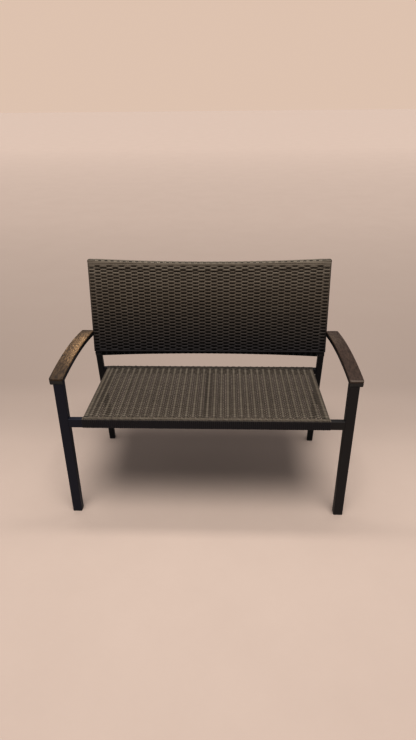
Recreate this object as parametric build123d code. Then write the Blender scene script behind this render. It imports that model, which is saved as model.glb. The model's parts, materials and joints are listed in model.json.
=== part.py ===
from build123d import *
import os
from math import asin, atan2, cos, degrees, floor, hypot, sin, tan

# Two-seat garden bench: a welded frame of rectangular tube with a woven seat and back.
# Lengths are millimetres. X runs to the right of someone facing the bench, Y runs rearwards
# and Z up. A setback is a distance rearwards from the front faces of the front legs.

# Overall sizes
leg_spread = 1080.0
post_spread = 986.0
seat_front_height = 438.0
seat_rear_height = 420.0
back_gap = 76.0
arm_height = 606.0
top_height = 896.5

# The tight weave pulls the rails of the back towards each other, so each is bowed in its plane:
# an arc over this share of its length, with straight ends
top_rail_sag = 13.0
bottom_rail_rise = 11.0
bow_share = 0.8

# Side profile of a rear post: its front face at the floor, at the bend and at the top. The bend
# is a little over the underside of the back's bottom rail, and that rail is a gap over the seat.
foot_setback = 510.0
bend_setback = 433.5
top_setback = 485.5
bend_rise = 17.0
bend_radius = 150.0

# Tubes, width by depth or height
tube_wall = 1.5
tube_corner = 2.5
bore_corner = 1.0
leg_width = 35.0
leg_depth = 30.0
post_width = 25.0
post_depth = 20.0
front_rail_height = 35.0
front_rail_depth = 20.0
rear_rail_height = 25.0
rear_rail_depth = 20.0
side_tube_width = 20.0
side_tube_height = 20.0
brace_width = 25.0
brace_height = 15.0
brace_drop = 8.0
back_rail_height = 20.0

# Arms: a flat arched tube under a wooden slat
arm_rise = 17.0
arm_tube_width = 46.0
arm_tube_height = 16.0
slat_width = 50.0
slat_thickness = 8.0
slat_nose = 2.0
slat_edge_radius = 2.5
slat_end_radius = 8.0
slat_post_gap = 1.0

# Screws that hold a slat down, from under the arm tube
screw_shares = (0.13, 0.5, 0.87)
screw_shank_radius = 2.0
screw_bite = 5.5
screw_head_radius = 4.0
screw_head_height = 2.4
screw_head_edge = 0.6
screw_recess_radius = 1.4
screw_recess_depth = 1.4
screw_clearance = 0.15
screw_seat_gap = 0.02

# Plastic plugs in the arm tubes' ends and glides in the feet
plug_plate = 2.0
plug_depth = 10.0
glide_lip = 5.0
glide_depth = 22.0
glide_chamfer = 1.0
insert_clearance = 0.2

# Woven strand: sleeves wrapped round the tubes, and the sheets between them. The back's tubes
# are bound first and then woven over, so their sleeves are thicker. A sheet has a rib wherever
# its cross strands ride over an upright one.
wrap_clearance = 0.3
wrap_thickness = 2.6
back_wrap_thickness = 4.6
sheet_thickness = 5.0
sheet_gap = 0.4
web_thickness = 2.0
rib_width = 12.0
back_rib_pitch = 25.2
seat_rib_pitch = 25.6
seat_side_gap = 13.0
post_wrap_tail = 8.0

# Cutting solids reach past what they cut by this much
overrun = 12.0
reach = 2000.0

# Values worked out from the sizes above
wrap_proud = wrap_clearance + wrap_thickness
back_proud = wrap_clearance + back_wrap_thickness
back_rail_bottom = seat_rear_height + back_gap
bend_height = back_rail_bottom + bend_rise
rake = atan2(foot_setback - bend_setback, bend_height)
recline = atan2(top_setback - bend_setback, top_height - bend_height)
mid_depth = (foot_setback + post_depth / cos(rake) - wrap_proud) / 2
leg_inner = leg_spread / 2 - leg_width
post_outer = post_spread / 2
post_inner = post_outer - post_width
seat_edge = post_inner - seat_side_gap
back_length = (top_height - bend_height) / cos(recline)
along_x = (1, 0, 0)
along_y = (0, 1, 0)


def at(x, setback, height):
    """Point of the model for a sideways place, a setback and a height."""
    return Vector(x, setback - mid_depth, height)


def block(low, high):
    """Box between its lowest and highest corners."""
    size = [b - a for a, b in zip(low, high)]
    middle = [(a + b) / 2 for a, b in zip(low, high)]
    return Pos(*middle) * Box(*size)


def bar(path, across, width, depth, corner):
    """Rounded rectangle carried along a path, its width lying in the direction across."""
    start = Plane(origin=path @ 0, x_dir=across, z_dir=path % 0)
    return sweep(start * RectangleRounded(width, depth, corner), path=path)


def grown(path, across, width, depth, margin):
    """Outside of a tube with a margin all round."""
    return bar(path, across, width + 2 * margin, depth + 2 * margin, tube_corner + margin)


def tube(path, across, width, depth):
    """Hollow rectangular tube with open ends."""
    bore = bar(path, across, width - 2 * tube_wall, depth - 2 * tube_wall, bore_corner)
    return grown(path, across, width, depth, 0) - bore


def sleeve(path, across, width, depth, proud):
    """Layer of wrapped strand round a tube, standing proud of it by a given height."""
    outside = grown(path, across, width, depth, proud)
    return outside - grown(path, across, width, depth, wrap_clearance)


def other_side(shape):
    """The same piece on the left of the bench."""
    return mirror(shape, about=Plane.YZ)


# Rear posts: one bent tube each, leg below and back upright above

def post_front(height):
    """Setback of the post's front face at a height, each side of the bend."""
    slope = -tan(rake) if height < bend_height else tan(recline)
    return bend_setback + (height - bend_height) * slope


def post_path(x):
    """Centre line of a post: two straight stretches joined by the bend, past both its ends."""
    lower_rear = Vector(0, cos(rake), sin(rake))
    upper_rear = Vector(0, cos(recline), -sin(recline))
    shift = (lower_rear + upper_rear) * (post_depth / 2 / (1 + lower_rear.dot(upper_rear)))
    corner = at(x, bend_setback, bend_height) + shift
    down = Vector(0, sin(rake), -cos(rake)) * ((corner.Z + overrun) / cos(rake))
    up = Vector(0, sin(recline), cos(recline)) * (back_length + overrun)
    return FilletPolyline(corner + down, corner, corner + up, radius=bend_radius)


back = Plane(
    origin=at(0, bend_setback, bend_height),
    x_dir=along_x,
    z_dir=(0, -cos(recline), sin(recline)),
)
back_rail_low = (back_rail_bottom - bend_height) / cos(recline)
right_post_path = post_path(post_outer - post_width / 2)


def mitre_wedge():
    """Space that the top rail keeps and the posts leave: its ends slope at 45 degrees."""
    past = 2 * overrun
    high = back_length + past
    low = back_length - post_width - past
    wide = post_outer + past
    narrow = post_inner - past
    outline = Polyline((-wide, high), (wide, high), (narrow, low), (-narrow, low), close=True)
    return back * extrude(make_face(outline), amount=post_depth + overrun, both=True)


def above(height):
    """Everything over a height."""
    return block((-reach, -reach, height), (reach, reach, reach))


def layer(low, high):
    """Everything between two heights."""
    return block((-reach, -reach, low), (reach, reach, high))


def rear_post():
    post = tube(right_post_path, along_x, post_width, post_depth)
    return (post & above(glide_lip)) - mitre_wedge()


def rear_glide():
    """Foot lip under the tube, and the plug that goes up its bore."""
    inside = 2 * (tube_wall + insert_clearance)
    lip = bar(right_post_path, along_x, post_width, post_depth, tube_corner) & layer(0, glide_lip)
    lip = chamfer(lip.edges().group_by(Axis.Z)[0], glide_chamfer)
    plug = bar(right_post_path, along_x, post_width - inside, post_depth - inside, bore_corner)
    return lip + (plug & layer(glide_lip, glide_lip + glide_depth))


# Back rails

def bowed(half_length, level, bow, half_span):
    """Line across the back, at a level at both ends of its span and a bow higher halfway.

    The arc turns by twice the angle of its ends. The tangent of half that angle is the bow over
    the span less the arc's half, which is exact to a few thousandths of a millimetre.
    """
    bend = bow_share * half_span
    half_turn = bow / (2 * half_span - bend)
    slope = 2 * half_turn / (1 - half_turn ** 2)
    shoulder = level + bow - bend * half_turn
    end = shoulder - (half_length - bend) * slope
    arc = ThreePointArc((-bend, shoulder, 0), (0, level + bow, 0), (bend, shoulder, 0))
    return Wire([Line((-half_length, end, 0), arc @ 0), arc, Line(arc @ 1, (half_length, end, 0))])


def in_post_depth(line):
    """A line of the back's plane, set halfway through the depth of the posts."""
    return back * Pos(0, 0, -post_depth / 2) * line


top_rail_path = in_post_depth(
    bowed(post_outer + overrun, back_length - post_width / 2, -top_rail_sag, post_outer)
)
bottom_rail_path = in_post_depth(
    bowed(post_inner + overrun, back_rail_low + back_rail_height / 2, bottom_rail_rise, post_inner)
)


def across_rail(path):
    """Direction square to a rail in the plane of the back, at the start of its path."""
    return back.z_dir.cross(path % 0)


def within(half_length):
    """Everything nearer to the middle of the bench than a sideways distance."""
    return block((-half_length, -reach, 0), (half_length, reach, reach))


def back_top_rail():
    return tube(top_rail_path, across_rail(top_rail_path), post_width, post_depth) & mitre_wedge()


def back_bottom_rail():
    rail = tube(bottom_rail_path, across_rail(bottom_rail_path), back_rail_height, post_depth)
    return rail & within(post_inner)


# Seat frame

rear_rail_setback = post_front(seat_rear_height - rear_rail_height / 2)
seat_slope = atan2(seat_front_height - seat_rear_height, rear_rail_setback - front_rail_depth)
front_rail_middle = seat_front_height - front_rail_height / 2
rear_rail_middle = seat_rear_height - rear_rail_height / 2


def front_rail_path(half_length):
    ends = [at(x, front_rail_depth / 2, front_rail_middle) for x in (-half_length, half_length)]
    return Line(*ends)


def rear_rail_path(half_length):
    setback = rear_rail_setback + rear_rail_depth / 2
    return Line(*[at(x, setback, rear_rail_middle) for x in (-half_length, half_length)])


def seat_tube_path(x, height, drop):
    """Line from front to rear under the seat's top plane, past both rails' faces."""
    slope = (seat_front_height - seat_rear_height) / (rear_rail_setback - front_rail_depth)
    below = drop + height / 2 / cos(seat_slope)
    front = at(x, front_rail_depth - overrun, seat_front_height + overrun * slope - below)
    rear = at(x, rear_rail_setback + overrun, seat_rear_height - overrun * slope - below)
    return Line(front, rear)


def between(front, rear):
    """Everything between two setbacks."""
    return block((-reach, front - mid_depth, 0), (reach, rear - mid_depth, reach))


side_tube_x = seat_edge - wrap_proud - side_tube_width / 2
side_path = seat_tube_path(side_tube_x, side_tube_height, 0)
brace_path = seat_tube_path(0, brace_height, brace_drop)


def front_seat_rail():
    return tube(front_rail_path(leg_inner), along_y, front_rail_depth, front_rail_height)


def rear_seat_rail():
    return tube(rear_rail_path(post_inner), along_y, rear_rail_depth, rear_rail_height)


def seat_side_tube():
    whole = tube(side_path, along_x, side_tube_width, side_tube_height)
    return whole & between(front_rail_depth, rear_rail_setback)


def seat_centre_brace():
    whole = tube(brace_path, along_x, brace_width, brace_height)
    return whole & between(front_rail_depth, rear_rail_setback)


# Arms. Their own frame has its origin under the inner front corner of the arm tube,
# X across the arm, Y rearwards along it and Z up, and is turned a little inwards.

post_at_arm = post_front(arm_height)
arm_turn = atan2(leg_inner - post_outer, post_at_arm)
arm_frame = Location(at(leg_inner, 0, 0), (0, 0, degrees(arm_turn)))
slat_rear = (post_at_arm - back_proud - slat_post_gap) / cos(arm_turn)
arm_middle = (slat_rear - slat_nose) / 2
half_chord = (slat_rear + slat_nose) / 2
arm_radius = (half_chord**2 + arm_rise**2) / (2 * arm_rise)
arm_centre_height = arm_height + arm_rise - arm_radius
slat_angle = degrees(asin(half_chord / arm_radius))
arm_tube_rear = (post_at_arm + post_depth / cos(recline)) / cos(arm_turn)
rear_angle = degrees(asin((arm_tube_rear - arm_middle) / arm_radius))
arm_tube_middle = slat_thickness + arm_tube_height / 2
arm_tube_bottom = slat_thickness + arm_tube_height
plate_angle = degrees(plug_plate / arm_radius)
plug_angle = degrees(plug_depth / arm_radius)


def arm_path(depth, front, rear):
    """Arc at a depth under the arm's top, between angles in front of and behind its crown."""
    centre = (arm_middle, arm_centre_height)
    arc = CenterArc(centre, arm_radius - depth, 90 + front, -front - rear)
    return Pos(arm_tube_width / 2, 0, 0) * (Plane.YZ * arc)


def on_arm(shape):
    """Puts a shape made in the arm's own frame into the model."""
    return arm_frame * shape


def post_space():
    """The post's outside, which the arm tube is coped against."""
    return grown(right_post_path, along_x, post_width, post_depth, 0)


def arm_point(angle, depth):
    """Frame on the arm at an angle behind its crown, at a depth under its top, Z outwards."""
    centre = Pos(arm_tube_width / 2, arm_middle, arm_centre_height)
    return centre * Rot(-angle, 0, 0) * Pos(0, 0, arm_radius - depth)


def screw_places():
    """Angles of the slat's screws, behind the crown of the arm."""
    return [slat_angle * (2 * share - 1) for share in screw_shares]


def screw_holes(margin):
    """Straight holes for the screws' shanks, from under the tube up into the slat."""
    length = arm_tube_height + screw_bite + screw_clearance + overrun
    hole = Cylinder(screw_shank_radius + margin, length, align=(Align.CENTER, Align.CENTER, Align.MIN))
    return [arm_point(angle, arm_tube_bottom + overrun) * hole for angle in screw_places()]


def arm_tube():
    path = arm_path(arm_tube_middle, slat_angle - plate_angle, rear_angle - plate_angle)
    whole = tube(path, along_x, arm_tube_width, arm_tube_height)
    for hole in screw_holes(screw_clearance):
        whole -= hole
    return on_arm(whole) - post_space()


def arm_plug(front, rear, plate_front, plate_rear):
    """Plate over a tube's end with a plug into its bore, each between two angles."""
    inside = 2 * (tube_wall + insert_clearance)
    plate_path = arm_path(arm_tube_middle, plate_front, plate_rear)
    plate = grown(plate_path, along_x, arm_tube_width, arm_tube_height, 0)
    plug_path = arm_path(arm_tube_middle, front, rear)
    plug = bar(plug_path, along_x, arm_tube_width - inside, arm_tube_height - inside, bore_corner)
    return on_arm(plate + plug) - post_space()


def arm_front_plug():
    inner = slat_angle - plate_angle
    return arm_plug(slat_angle, plug_angle - inner, slat_angle, -inner)


def arm_rear_plug():
    inner = rear_angle - plate_angle
    return arm_plug(plug_angle - inner, rear_angle, -inner, rear_angle)


def arm_slat():
    """Wooden slat: its section is rounded, and so are its four corners seen from above."""
    path = arm_path(slat_thickness / 2, slat_angle, slat_angle)
    slat = bar(path, along_x, slat_width, slat_thickness, slat_edge_radius)
    outline = RectangleRounded(slat_width, 2 * half_chord, slat_end_radius)
    plan = Pos(arm_tube_width / 2, arm_middle, 0) * extrude(outline, amount=reach)
    slat = slat & plan
    for hole in screw_holes(screw_clearance):
        slat -= hole
    return on_arm(slat)


def arm_screws():
    """Pan-head screws, heads under the arm tube and points in the slat."""
    up = (Align.CENTER, Align.CENTER, Align.MIN)
    down = (Align.CENTER, Align.CENTER, Align.MAX)
    shank = Cylinder(screw_shank_radius, arm_tube_height + screw_bite, align=up)
    head = Cylinder(screw_head_radius, screw_head_height, align=down)
    head = fillet(head.edges().group_by(Axis.Z)[0], screw_head_edge)
    recess = Cylinder(screw_recess_radius, screw_recess_depth, align=up)
    screw = head + shank - Pos(0, 0, -screw_head_height) * recess
    depth = arm_tube_bottom + screw_seat_gap
    return Compound([on_arm(arm_point(angle, depth) * screw) for angle in screw_places()])


# Front legs

def leg_path(low, high):
    x = leg_spread / 2 - leg_width / 2
    return Line(at(x, leg_depth / 2, low), at(x, leg_depth / 2, high))


def front_leg():
    """Upright tube whose top is cut to the underside of the arched arm tube."""
    whole = tube(leg_path(glide_lip, arm_height), along_x, leg_width, leg_depth)
    thick = arm_height / 2
    path = arm_path(arm_tube_bottom - thick / 2, 2 * slat_angle, 0)
    return whole - on_arm(bar(path, along_x, 2 * arm_tube_width, thick, tube_corner))


def front_glide():
    inside = 2 * (tube_wall + insert_clearance)
    lip = bar(leg_path(0, glide_lip), along_x, leg_width, leg_depth, tube_corner)
    lip = chamfer(lip.edges().group_by(Axis.Z)[0], glide_chamfer)
    plug_path = leg_path(glide_lip, glide_lip + glide_depth)
    return lip + bar(plug_path, along_x, leg_width - inside, leg_depth - inside, bore_corner)


# Woven sleeves and sheets

def back_side_wrap():
    """Strand round a post, from under the bottom rail to the mitre, open for rail and arm."""
    wrap = sleeve(right_post_path, along_x, post_width, post_depth, back_proud)
    low = back_rail_low - back_proud - post_wrap_tail
    wrap = wrap & (back * block((0, low, -reach), (reach, reach, reach)))
    across = across_rail(bottom_rail_path)
    rail = grown(bottom_rail_path, across, back_rail_height, post_depth, wrap_clearance)
    path = arm_path(arm_tube_middle, 0, rear_angle + plate_angle)
    arm = on_arm(grown(path, along_x, arm_tube_width, arm_tube_height, wrap_clearance))
    return wrap - mitre_wedge() - rail - arm


def back_top_wrap():
    across = across_rail(top_rail_path)
    return sleeve(top_rail_path, across, post_width, post_depth, back_proud) & mitre_wedge()


def back_bottom_wrap():
    across = across_rail(bottom_rail_path)
    wrap = sleeve(bottom_rail_path, across, back_rail_height, post_depth, back_proud)
    return wrap & within(post_inner - back_proud)


def ribbed(half, low, high, pitch):
    """Thin web with ribs along it, a rib at every pitch to each side of the middle."""
    bottom = wrap_proud - sheet_thickness
    web_bottom = bottom + (sheet_thickness - web_thickness) / 2
    count = floor((half - rib_width / 2) / pitch)
    ribs = [
        block((k * pitch - rib_width / 2, low, bottom), (k * pitch + rib_width / 2, high, wrap_proud))
        for k in range(-count, count + 1)
    ]
    return block((-half, low, web_bottom), (half, high, web_bottom + web_thickness)) + ribs


def back_sheet():
    """Woven sheet of the back, set a little behind the faces of the wrapped tubes."""
    half = post_inner - back_proud - sheet_gap
    low = back_rail_low + back_rail_height + back_proud + sheet_gap
    high = back_length - post_width - back_proud - sheet_gap
    lower = bowed(half, low, bottom_rail_rise, post_inner)
    upper = bowed(half, high, -top_rail_sag, post_outer)
    sides = [Line(lower @ 0, upper @ 0), Line(lower @ 1, upper @ 1)]
    outline = make_face(lower.edges() + upper.edges() + sides)
    window = extrude(outline, amount=sheet_thickness, both=True)
    return back * (window & ribbed(half, low, high, back_rib_pitch))


def seat_tubes_grown():
    side = grown(side_path, along_x, side_tube_width, side_tube_height, wrap_clearance)
    brace = grown(brace_path, along_x, brace_width, brace_height, wrap_clearance)
    return [side, other_side(side), brace]


def seat_front_wrap():
    wrap = sleeve(front_rail_path(seat_edge), along_y, front_rail_depth, front_rail_height, wrap_proud)
    for piece in seat_tubes_grown():
        wrap -= piece & between(front_rail_depth, rear_rail_setback)
    return wrap


def seat_rear_wrap():
    wrap = sleeve(rear_rail_path(seat_edge), along_y, rear_rail_depth, rear_rail_height, wrap_proud)
    for piece in seat_tubes_grown():
        wrap -= piece & between(front_rail_depth, rear_rail_setback)
    return wrap


def seat_side_wrap():
    wrap = sleeve(side_path, along_x, side_tube_width, side_tube_height, wrap_proud)
    return wrap & between(front_rail_depth + wrap_proud, rear_rail_setback - wrap_proud)


def seat_sheet():
    """Woven sheet of the seat, its ribs level with the tops of the wrapped tubes."""
    slope = Plane(
        origin=at(0, front_rail_depth, seat_front_height),
        x_dir=along_x,
        z_dir=(0, sin(seat_slope), cos(seat_slope)),
    )
    half = side_tube_x - side_tube_width / 2 - wrap_proud - sheet_gap
    run = hypot(rear_rail_setback - front_rail_depth, seat_front_height - seat_rear_height)
    margin = wrap_proud + sheet_gap
    return slope * ribbed(half, margin, run - margin, seat_rib_pitch)


pairs = {
    "front_leg": front_leg(),
    "rear_post": rear_post(),
    "front_glide": front_glide(),
    "rear_glide": rear_glide(),
    "seat_side_tube": seat_side_tube(),
    "arm_tube": arm_tube(),
    "arm_front_plug": arm_front_plug(),
    "arm_rear_plug": arm_rear_plug(),
    "arm_slat": arm_slat(),
    "arm_screws": arm_screws(),
    "back_wrap": back_side_wrap(),
    "seat_wrap": seat_side_wrap(),
}
singles = {
    "front_seat_rail": front_seat_rail(),
    "rear_seat_rail": rear_seat_rail(),
    "seat_centre_brace": seat_centre_brace(),
    "back_top_rail": back_top_rail(),
    "back_bottom_rail": back_bottom_rail(),
    "back_weave": back_sheet(),
    "back_wrap_top": back_top_wrap(),
    "back_wrap_bottom": back_bottom_wrap(),
    "seat_weave": seat_sheet(),
    "seat_wrap_front": seat_front_wrap(),
    "seat_wrap_rear": seat_rear_wrap(),
}

os.makedirs("parts", exist_ok=True)
for name, shape in singles.items():
    export_step(shape, f"parts/{name}.step")
for name, shape in pairs.items():
    export_step(shape, f"parts/{name}_right.step")
    export_step(other_side(shape), f"parts/{name}_left.step")
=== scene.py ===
# %% [markdown]
# # A woven garden bench
#
# The bench is a black tube frame with a seat and a back woven from flat plastic strand, and two
# arched arms topped with wooden slats. The tubes, slats, plugs, glides and screws come from the
# CAD model. This script adds what a CAD solid can't say: every strand of the weave, the wear and
# grain of each finish, and a plain studio round it.
#
# The first cell loads the CAD model as a fixed frame.

# %% Load the frame
import json
from math import atan2, ceil, cos, pi, radians, sin, tan

import bpy
import numpy as np
from mathutils import Matrix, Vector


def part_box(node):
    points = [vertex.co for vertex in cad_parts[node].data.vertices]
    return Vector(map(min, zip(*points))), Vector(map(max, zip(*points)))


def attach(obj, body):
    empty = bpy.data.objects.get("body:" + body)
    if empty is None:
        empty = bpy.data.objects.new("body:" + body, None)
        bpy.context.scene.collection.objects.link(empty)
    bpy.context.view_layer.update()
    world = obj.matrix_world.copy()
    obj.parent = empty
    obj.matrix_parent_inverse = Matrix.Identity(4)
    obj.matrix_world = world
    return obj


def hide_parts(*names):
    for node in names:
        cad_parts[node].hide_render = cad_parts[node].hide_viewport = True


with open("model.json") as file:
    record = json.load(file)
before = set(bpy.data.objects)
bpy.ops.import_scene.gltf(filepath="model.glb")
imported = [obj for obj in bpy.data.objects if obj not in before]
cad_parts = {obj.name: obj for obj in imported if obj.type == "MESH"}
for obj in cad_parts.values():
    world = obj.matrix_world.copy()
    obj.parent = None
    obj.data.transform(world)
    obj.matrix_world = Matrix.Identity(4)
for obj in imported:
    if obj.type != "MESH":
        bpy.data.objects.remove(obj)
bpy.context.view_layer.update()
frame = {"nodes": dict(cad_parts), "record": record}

# %% [markdown]
# ## The bench's own measures
#
# Lengths are in millimetres until a mesh is made. A setback is a distance rearwards from the
# front faces of the front legs, the way a maker measures a chair. The back and the seat are flat
# panels, so each has its own axes: sideways, along the panel, and out of its face. Strand could
# be placed in the model's axes too, but a panel that leans makes each formula longer there.

# %% Planes of the back and the seat
millimetre, millimetres_a_metre = 0.001, 1000
front_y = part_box("front_leg_right")[0].y * millimetres_a_metre
post_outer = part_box("rear_post_right")[1].x * millimetres_a_metre
post_width, post_depth, tube_corner = 25.0, 20.0, 2.5
post_inner = post_outer - post_width
bend_setback, bend_height, bend_radius = 433.5, 513.0, 150.0
back_lean, back_climb, leg_lean = 52.0, 383.5, 76.5
recline, rake = atan2(back_lean, back_climb), atan2(leg_lean, bend_height)
rail_front, rail_low, rail_high = 20.0, 403.0, 438.0
rear_rail_depth, rear_rail_low, rear_rail_high = 20.0, 395.0, 420.0
rear_rail_middle = (rear_rail_low + rear_rail_high) / 2
rear_rail_setback = bend_setback + (bend_height - rear_rail_middle) * tan(rake)
seat_slope = atan2(rail_high - rear_rail_high, rear_rail_setback - rail_front)
sideways = np.array([1.0, 0.0, 0.0])
back_origin = np.array([0.0, front_y + bend_setback, bend_height])
back_up = np.array([0.0, sin(recline), cos(recline)])
back_out = np.array([0.0, -cos(recline), sin(recline)])
seat_origin = np.array([0.0, front_y + rail_front, rail_high])
seat_along = np.array([0.0, cos(seat_slope), -sin(seat_slope)])
seat_out = np.array([0.0, sin(seat_slope), cos(seat_slope)])
back_length = back_climb / cos(recline)
back_low, bottom_rise, top_sag = -17.16, 11.0, 13.0
seat_length = (rear_rail_setback - rail_front) / cos(seat_slope)
print(f"back panel {2 * post_outer:.0f} x {back_length:.0f} mm, seat {seat_length:.0f} mm deep")

# %% [markdown]
# ## How a strand becomes a mesh
#
# Real strand is extruded flat with a slight crown, so it has one section from end to end. A curve
# with a bevel could draw it, but its twist is hard to hold where strand has to lie flat on a
# tube. Here a section of eight points is carried along a path instead. All the strands of a piece
# are one array of strands by places by section points, made in one go with no loop over points.

# %% Section of the strand and the mesh builder
strand_thickness = 1.4
half_thick = strand_thickness / 2
round_edged = np.array([
    (-1.0, 0.0), (-0.86, -0.85), (0.0, -1.0), (0.86, -0.85),
    (1.0, 0.0), (0.86, 0.85), (0.0, 1.0), (-0.86, 0.85),
])
back_weft_section = round_edged * (3.92, half_thick)
seat_weft_section = round_edged * (3.9, half_thick)
stake_section = round_edged * (3.4, half_thick)
seat_stake_section = round_edged * (3.6, half_thick)
binding_section = round_edged * (3.45, half_thick)


def unit(vectors):
    """Vectors divided by their own lengths."""
    return vectors / np.linalg.norm(vectors, axis=-1, keepdims=True)


def mesh_piece(name, points, corner_points, face_sizes, uv, values):
    """Object at the origin from millimetre points, with a UV map and named values per point."""
    mesh = bpy.data.meshes.new(name)
    mesh.vertices.add(len(points))
    mesh.vertices.foreach_set("co", (points * millimetre).astype(np.float32).ravel())
    mesh.loops.add(len(corner_points))
    mesh.loops.foreach_set("vertex_index", corner_points.astype(np.int32))
    mesh.polygons.add(len(face_sizes))
    starts = np.concatenate([[0], np.cumsum(face_sizes)[:-1]])
    mesh.polygons.foreach_set("loop_start", starts.astype(np.int32))
    mesh.polygons.foreach_set("loop_total", face_sizes.astype(np.int32))
    mesh.polygons.foreach_set("use_smooth", np.ones(len(face_sizes), bool))
    mesh.uv_layers.new(name="strand").data.foreach_set("uv", uv.astype(np.float32).ravel())
    for key, per_point in values.items():
        layer = mesh.attributes.new(key, "FLOAT", "POINT")
        layer.data.foreach_set("value", per_point.astype(np.float32).ravel())
    mesh.update(calc_edges=True)
    mesh.validate()
    piece = bpy.data.objects.new(name, mesh)
    bpy.context.scene.collection.objects.link(piece)
    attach(piece, "root")
    return piece


def strands(name, paths, across, out, section, closed, values):
    """Strands of one section carried along their paths.

    paths is strands x places x 3, across and out are unit vectors over the strand's width and out
    of its flat face. Each mesh point is path + w * across + t * out for a section point (w, t).
    Neighbouring points join into four-sided faces, and each open end gets one face.
    """
    count, places, sides = len(paths), paths.shape[1], len(section)
    w, t = section[:, 0], section[:, 1]
    rings = (paths[:, :, None] + w[:, None] * across[:, :, None] + t[:, None] * out[:, :, None])
    number = np.arange(count * places * sides).reshape(count, places, sides)
    after = np.roll(number, -1, axis=1) if closed else number[:, 1:]
    here = number if closed else number[:, :-1]
    quads = np.stack([here, np.roll(here, -1, axis=2), np.roll(after, -1, axis=2), after], axis=-1)
    run = np.zeros((count, places))
    run[:, 1:] = np.cumsum(np.linalg.norm(np.diff(paths, axis=1), axis=2), axis=1) * millimetre
    end_run = run[:, -1:] + millimetre if closed else run[:, :0]
    run = np.concatenate([run, end_run], axis=1)
    u0 = np.repeat(run[:, :-1, None], sides, axis=2)
    u1 = np.repeat(run[:, 1:, None], sides, axis=2)
    v0 = np.broadcast_to(np.arange(sides) / sides, u0.shape)
    v1 = v0 + 1 / sides
    uv = np.stack([np.stack(pair, -1) for pair in ((u0, v0), (u0, v1), (u1, v1), (u1, v0))], axis=-2)
    corner_points, face_sizes, uv = quads.ravel(), np.full(quads[..., 0].size, 4), uv.reshape(-1, 2)
    if not closed:
        ends = np.concatenate([number[:, 0, ::-1], number[:, -1]])
        corner_points = np.concatenate([corner_points, ends.ravel()])
        face_sizes = np.concatenate([face_sizes, np.full(len(ends), sides)])
        uv = np.concatenate([uv, np.full((ends.size, 2), 0.5)])
    spread = {k: np.broadcast_to(v[..., None], number.shape) for k, v in values.items()}
    made = mesh_piece(name, rings.reshape(-1, 3), corner_points, face_sizes, uv, spread)
    triangles = 2 * quads[..., 0].size + (0 if closed else 2 * count * (sides - 2))
    print(f"{name}: {count} strands, {triangles} triangles")
    return made


def frames_along(paths, across, closed):
    """The across vectors at each place, and the unit vectors out of the flat face there.

    Out is across x tangent, and the tangent is the difference of the two neighbouring places.
    """
    if closed:
        tangents = np.roll(paths, -1, axis=1) - np.roll(paths, 1, axis=1)
    else:
        tangents = np.gradient(paths, axis=1)
    wide = np.broadcast_to(across, paths.shape)
    return wide, unit(np.cross(wide, unit(tangents)))


def weave(name, made, wide, section, closed=False, facing=1, narrower=1.0):
    """Piece of strands from their paths and looks, each with its width along one direction.

    facing is -1 where across x tangent points into the panel, and narrower scales the width.
    """
    paths, values = made
    across, out = frames_along(paths, wide, closed)
    return strands(name, paths, across * narrower, facing * out, section, closed, values)


# %% [markdown]
# ## Lines that turn round tubes
#
# Strand follows the outside of rounded tubes. It could be wrapped on by a modifier, but a flat
# line with rounded corners says where it goes in a few numbers. Each point of the line knows
# which way is out, and a strand that lies on the tube, or on another strand, is the same line
# moved outwards by a height.

# %% Rounded lines
def rounded_line(corners, radius, step, side):
    """Flat line through the corners, each rounded by an arc, with unit vectors out to one side.

    Straight stretches are cut into equal steps. An arc's points are centre + radius turned
    little by little from one stretch's direction to the next. side is 1 for left, -1 for right.
    """
    corners = np.asarray(corners, float)
    ways = unit(np.diff(corners, axis=0))
    lefts = np.stack([-ways[:, 1], ways[:, 0]], axis=1)
    points, outs, start = [], [], corners[0]
    for i, (way, left) in enumerate(zip(ways, lefts)):
        end = corners[i + 1]
        turn = 0.0
        if i + 1 < len(ways):
            onward = ways[i + 1]
            turn = atan2(way[0] * onward[1] - way[1] * onward[0], way @ onward)
            end = end - way * radius * tan(abs(turn) / 2)
        cuts = max(1, ceil(np.linalg.norm(end - start) / step))
        share = np.linspace(0, 1, cuts + 1)[:, None]
        points.append(start + (end - start) * share)
        outs.append(np.repeat(left[None], cuts + 1, axis=0))
        if turn:
            centre = end + np.sign(turn) * radius * left
            angles = np.linspace(0, turn, 5)[1:-1]
            c, s = np.cos(angles), np.sin(angles)
            spin = np.stack([np.stack([c, -s], 1), np.stack([s, c], 1)], axis=1)
            points.append(centre + spin @ (end - centre))
            outs.append(spin @ left)
            start = corners[i + 1] + onward * radius * tan(abs(turn) / 2)
    points, outs = np.concatenate(points), np.concatenate(outs) * side
    run = np.concatenate([[0], np.cumsum(np.linalg.norm(np.diff(points, axis=0), axis=1))])
    return points, outs, run


def nearest_run(line, point):
    """Distance run along a rounded line at its point nearest to a given one."""
    points, _, run = line
    return run[np.argmin(np.linalg.norm(points - point, axis=1))]


def places_on(line, runs):
    """Points and out vectors of a rounded line at given distances along it."""
    points, outs, run = line
    keep = np.concatenate([[True], np.diff(run) > 1e-9])
    at = [np.interp(runs, run[keep], column[keep]) for column in (*points.T, *outs.T)]
    return np.stack(at[:2], axis=-1), unit(np.stack(at[2:], axis=-1))


def smooth(value, low, high):
    """Smooth step from 0 at low to 1 at high."""
    t = np.clip((value - low) / (high - low), 0, 1)
    return t * t * (3 - 2 * t)


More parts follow.
